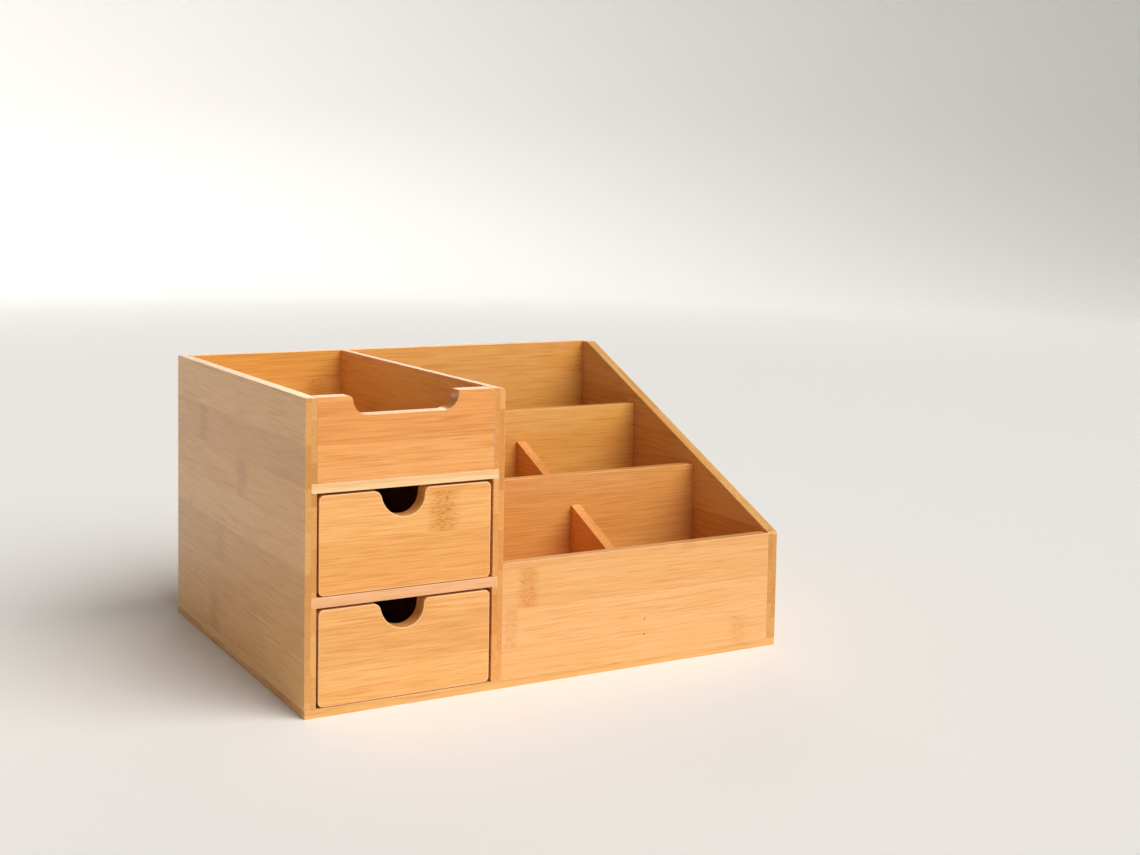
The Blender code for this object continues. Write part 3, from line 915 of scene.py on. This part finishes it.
@dataclass
class PenCells(Boards):
    """The low front, the two partitions and the divider in each of two rows."""

    body: str = "carcass"

    def build(self) -> None:
        """Make and dress the boards behind and in front of the pens."""
        glued = Side.LEFT | Side.RIGHT | Side.DOWN
        low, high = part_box("front_panel")
        front_top = high[2]
        self.keep(plain_board("front_panel", Axis.Y, glued), "front_panel", STRAW, along_x(
            0.0230, low[1], 71.0, Knuckle(-0.0222, 1, 0, 0.9), Knuckle(-0.034, 0, 0, 0.5, 4 * MM),
            Knuckle(0.134, -1, 0, 0.4), Knuckle(0.0952, 2, 0, 0.5)), "bamboo_face")
        for number, (node, finish) in enumerate((("middle_partition", HONEY), ("rear_partition", GOLD))):
            low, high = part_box(node)
            self.keep(plain_board(node, Axis.Y, glued), node, finish, along_x(
                high[2] - 17 * MM - 4 * STRIP_WIDTH, low[1], 83.0 + number), "bamboo_inner")
        side_low, side_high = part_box("right_side_panel")
        slope = (side_high[2] - front_top) / (side_high[1] - SIDE_FLAT - side_low[1])
        for number, node in enumerate(("front_row_divider", "middle_row_divider")):
            low, high = seated_box(node, Side.FRONT | Side.BACK | Side.DOWN)
            drop = slope * (high.y - low.y)
            corners = [(low.y, low.z), (high.y, low.z), (high.y, high.z), (low.y, high.z - drop)]
            piece = slab(f"{node}_board", filleted(corners, [CORNER] * 4), Axis.X, low.x, high.x - low.x)
            self.keep(piece, node, AMBER, along_y(0.0215, low.x, 91.0 + number), "bamboo_inner")


@dataclass
class Drawer(Boards):
    """A drawer: a notched front, two sides and a back with grooves, and a thin bottom.

    Attributes:
        seed: Picks the canes of its boards.
        seam: Height of a glue line in its front above the front's bottom edge, in metres.
        finish: Finish of its front.
        knuckles: Cane nodes in its front.
        notch: Finger notch in the top edge of its front.
        corner: Radius of the front's corners.
        ease: Radius of the front's eased edges.
        groove_depth: Depth of the groove that holds the bottom.
    """

    seed: float = 0.0
    seam: float = 0.0
    finish: Bamboo = RUBBED_AND_HIGHLIT_HONEY
    knuckles: tuple[Knuckle, ...] = ()
    notch: Dip = Dip(24 * MM, 15.7 * MM, -1 * MM, DipEnd(4 * MM, 11.9 * MM, 4.8 * MM),
                     DipEnd(0.0, 11.9 * MM, 3.5 * MM))
    corner: float = 3 * MM
    ease: float = 0.4 * MM
    groove_depth: float = 2.5 * MM

    def groove(self) -> tuple[float, float, float]:
        """Lowest and highest Z and depth of the groove that holds the bottom."""
        low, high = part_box(f"{self.body}_bottom")
        return low[2] - HAIRLINE, high[2] + HAIRLINE, self.groove_depth

    def build(self) -> None:
        """Make and dress the drawer's boards."""
        node = f"{self.body}_front"
        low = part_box(node)[0]
        piece = dipped_front(node, Side.NONE, self.notch, self.corner, self.ease)
        self.keep(piece, node, self.finish, along_x(low[2] + self.seam, low[1], self.seed, *self.knuckles),
                  "bamboo_face")
        for number, side in enumerate(("left", "right")):
            node = f"{self.body}_{side}_side"
            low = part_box(node)[0]
            piece = grooved_board(node, Axis.Y, Side.FRONT, [self.groove()], side == "left")
            self.keep(piece, node, STRAW, along_y(
                low[2] + 17 * MM, low[0] - 2 * MM, self.seed + 1 + number, Knuckle(0.04 - 0.06 * number, 0)),
                "bamboo_drawer")
        node = f"{self.body}_back"
        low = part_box(node)[0]
        piece = grooved_board(node, Axis.X, Side.LEFT | Side.RIGHT, [self.groove()], False)
        self.keep(piece, node, STRAW, along_x(low[2] + 12 * MM, low[1], self.seed + 3), "bamboo_drawer")
        node = f"{self.body}_bottom"
        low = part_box(node)[0]
        piece = plain_board(node, Axis.Z, Side.NONE)
        self.keep(piece, node, STRAW, lying(
            low[1], low[2] - 0.1 * MM, self.seed + 4, Knuckle(-0.08, 3)), "bamboo_drawer")


@dataclass
class PinNails:
    """Steel pins set a little below the wood, each in its own hole.

    Attributes:
        boards: The finished boards by node, which are drilled.
        head_radius: Radius of a pin's head.
        shank_radius: Radius of its shank.
        hole_radius: Radius of the hole in the board that it is driven through.
        hole_depth: Depth of that hole below the pin's head.
        overcut: How far the hole's cutter stands out above the head.
        sink: Depth of the head below the surface.
        dome: Height of the head's domed top.
        head_depth: Depth of the head's straight wall.
        neck: Length of the taper from head to shank.
        point: Length of the point.
    """

    boards: dict[str, bpy.types.Object]
    head_radius: float = 0.45 * MM
    shank_radius: float = 0.35 * MM
    hole_radius: float = 0.5 * MM
    hole_depth: float = 1.1 * MM
    overcut: float = 1.5 * MM
    sink: float = 0.45 * MM
    dome: float = 0.12 * MM
    head_depth: float = 0.5 * MM
    neck: float = 0.1 * MM
    point: float = 1.5 * MM

    def host(self, node: str) -> tuple[str, tuple[int, int, int]]:
        """The board that a pin is driven through, and the way it points.

        Args:
            node: Name of the pin's CAD node.

        Returns:
            The board's node and a unit vector.
        """
        for drawer in ("upper_drawer", "lower_drawer"):
            for side, way in (("left", 1), ("right", -1)):
                if node.startswith(f"{drawer}_{side}"):
                    return f"{drawer}_{side}_side", (way, 0, 0)
        if node.startswith("tray_front") or node.startswith("back_panel_left"):
            return "left_side_panel", (1, 0, 0)
        if node.startswith("front_divider"):
            return "front_panel", (0, 1, 0)
        if node.startswith(("left_side", "centre_divider", "right_side")):
            return "bottom_board", (0, 0, 1)
        return "right_side_panel", (-1, 0, 0)

    def profile(self, length: float) -> np.ndarray:
        """Rows of (distance, radius) of a pin: a dome of ellipse form, the head, the shank and the point."""
        swing = np.linspace(0.1, 1.0, 4)
        dome = np.stack([self.dome * (1 - np.sqrt(1 - 0.9 * swing ** 2)), self.head_radius * swing], axis=1)
        head_end = self.dome + self.head_depth
        return np.concatenate([dome, [
            [head_end, self.head_radius],
            [head_end + self.neck, self.shank_radius],
            [length - self.point, self.shank_radius],
            [length, self.shank_radius / 4],
        ]])

    def build(self) -> None:
        """Drill the boards, and make and dress the pins."""
        holes: dict[str, list[bpy.types.Object]] = {}
        for node in sorted(name for name in frame["nodes"] if name.endswith("_brad")):
            board, way = self.host(node)
            low, high = (np.array(corner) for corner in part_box(node))
            along = np.array(way, dtype=float)
            forward = along.sum() > 0
            face = np.array(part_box(board)[0 if forward else 1])
            head = np.where(along != 0, face + along * self.sink, (low + high) / 2)
            length = abs(((high if forward else low) - head) @ along)
            piece = turned(node.replace("_brad", "_pin"), self.profile(length), head, way)
            piece.data.materials.append(DrawnSteel().material())
            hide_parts(node)
            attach(piece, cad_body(node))
            log.info("%s through %s", piece.name, board)
            bore = np.array([[-self.overcut, self.hole_radius], [self.hole_depth, self.hole_radius]])
            holes.setdefault(board, []).append(turned(f"{node}_bore", bore, head, way, 16))
        for board, cutters in holes.items():
            drill(self.boards[board], cutters)
            log.info("%s drilled %d times", board, len(cutters))


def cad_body(node: str) -> str:
    """The body that a CAD node belongs to."""
    for body, nodes in frame["record"]["behaviour"]["bodies"].items():
        if node in nodes:
            return body
    raise ValueError(node)


# ---------------------------------------------------------------- studio


@dataclass
class Studio:
    """A pale round sweep, soft lights and the camera.

    Attributes:
        place: The camera's place.
        turn: Degrees that it looks to the right of +Y.
        tilt: Degrees that it looks up.
        roll: Degrees that its right side is raised.
        lens: Focal length in millimetres.
        sensor: Width of the sensor in millimetres.
        shift: Shift of the view to the right and up, as shares of its width.
    """

    place: tuple[float, float, float] = (-0.4631, -0.8808, 0.2902)
    turn: float = 27.856
    tilt: float = -3.882
    roll: float = 0.748
    lens: float = 47.183
    sensor: float = 36.0
    shift: tuple[float, float] = (0.0833, -0.1118)

    def camera(self) -> None:
        """Make the scene's camera."""
        data = bpy.data.cameras.new("camera")
        data.lens = self.lens
        data.sensor_width = self.sensor
        data.shift_x, data.shift_y = self.shift
        data.clip_start = 0.01
        camera = bpy.data.objects.new("camera", data)
        turned_round = Matrix.Rotation(math.radians(-self.turn), 4, "Z")
        tilted = Matrix.Rotation(math.radians(90 + self.tilt), 4, "X")
        rolled = Matrix.Rotation(math.radians(self.roll), 4, "Z")
        camera.matrix_world = Matrix.Translation(self.place) @ turned_round @ tilted @ rolled
        bpy.context.scene.collection.objects.link(camera)
        bpy.context.scene.camera = camera

    def sweep(self) -> None:
        """The floor: a disc whose rim curves up into a low wall, turned about the upright axis."""
        flat, bend, wall = 3.3, 0.6, 1.0
        steps, around = 12, 96
        swing = np.linspace(0, math.pi / 2, steps)[1:]
        radius = np.concatenate([np.linspace(0.05, flat, steps), flat + bend * np.sin(swing), [flat + bend]])
        height = np.concatenate([np.zeros(steps), bend * (1 - np.cos(swing)), [wall]])
        angle = np.linspace(0, 2 * math.pi, around, endpoint=False)
        points = np.stack([radius[:, None] * np.cos(angle), radius[:, None] * np.sin(angle),
                           np.repeat(height[:, None], len(angle), axis=1)], axis=-1)
        faces = [face[::-1] for face in ring_quads(len(radius), around)] + [list(range(around))]
        floor = new_piece("studio_floor", points.reshape(-1, 3), faces)
        paper = bpy.data.materials.new("matt_backdrop_paper")
        paper.use_nodes = True
        shader = paper.node_tree.nodes["Principled BSDF"]
        shader.inputs["Base Color"].default_value = linear("#F9F8F6")
        shader.inputs["Roughness"].default_value = 0.85
        floor.data.materials.append(paper)

    def sun(self, name: str, towards: tuple[float, float, float], spread: float, strength: float,
            colour: str) -> None:
        """An even light from far away, as from a large soft box.

        Args:
            name: Name of the light.
            towards: Where it comes from.
            spread: Its angle in degrees.
            strength: Watts for a square metre that faces it.
            colour: sRGB colour.
        """
        data = bpy.data.lights.new(name, "SUN")
        data.angle = math.radians(spread)
        data.energy = strength
        data.color = linear(colour)[:3]
        lamp = bpy.data.objects.new(name, data)
        lamp.rotation_euler = Vector(towards).to_track_quat("Z", "Y").to_euler()
        bpy.context.scene.collection.objects.link(lamp)

    def build(self) -> None:
        """Set up the stage."""
        scene = bpy.context.scene
        scene.view_settings.view_transform = "Standard"
        world = bpy.data.worlds.new("studio")
        world.use_nodes = True
        back = world.node_tree.nodes["Background"]
        back.inputs["Color"].default_value = linear("#F6F8FC")
        back.inputs["Strength"].default_value = 0.10
        scene.world = world
        self.sun("key", (0.41, -0.63, 0.76), 60.0, 3.12, "#FFFCF8")
        self.sun("rim", (0.46, 0.87, 0.17), 30.0, 0.9, "#FFEFD2")
        self.camera()
        self.sweep()


def main() -> None:
    """Build the organizer, then the studio."""
    carcass = Carcass()
    tray = Tray()
    cells = PenCells()
    upper = Drawer("upper_drawer", seed=101.0, seam=6 * MM,
                   knuckles=(Knuckle(-0.0795, 1, reach=7.5 * MM),))
    lower = Drawer("lower_drawer", seed=121.0, seam=21 * MM, finish=RUBBED_AND_HIGHLIT_STRAW,
                   knuckles=(Knuckle(-0.0925, 1, 0, 0.4),))
    boards: dict[str, bpy.types.Object] = {}
    for part in (carcass, tray, cells, upper, lower):
        part.build()
        boards.update(part.made)
    PinNails(boards).build()
    Studio().build()


if __name__ == "__main__":
    main()
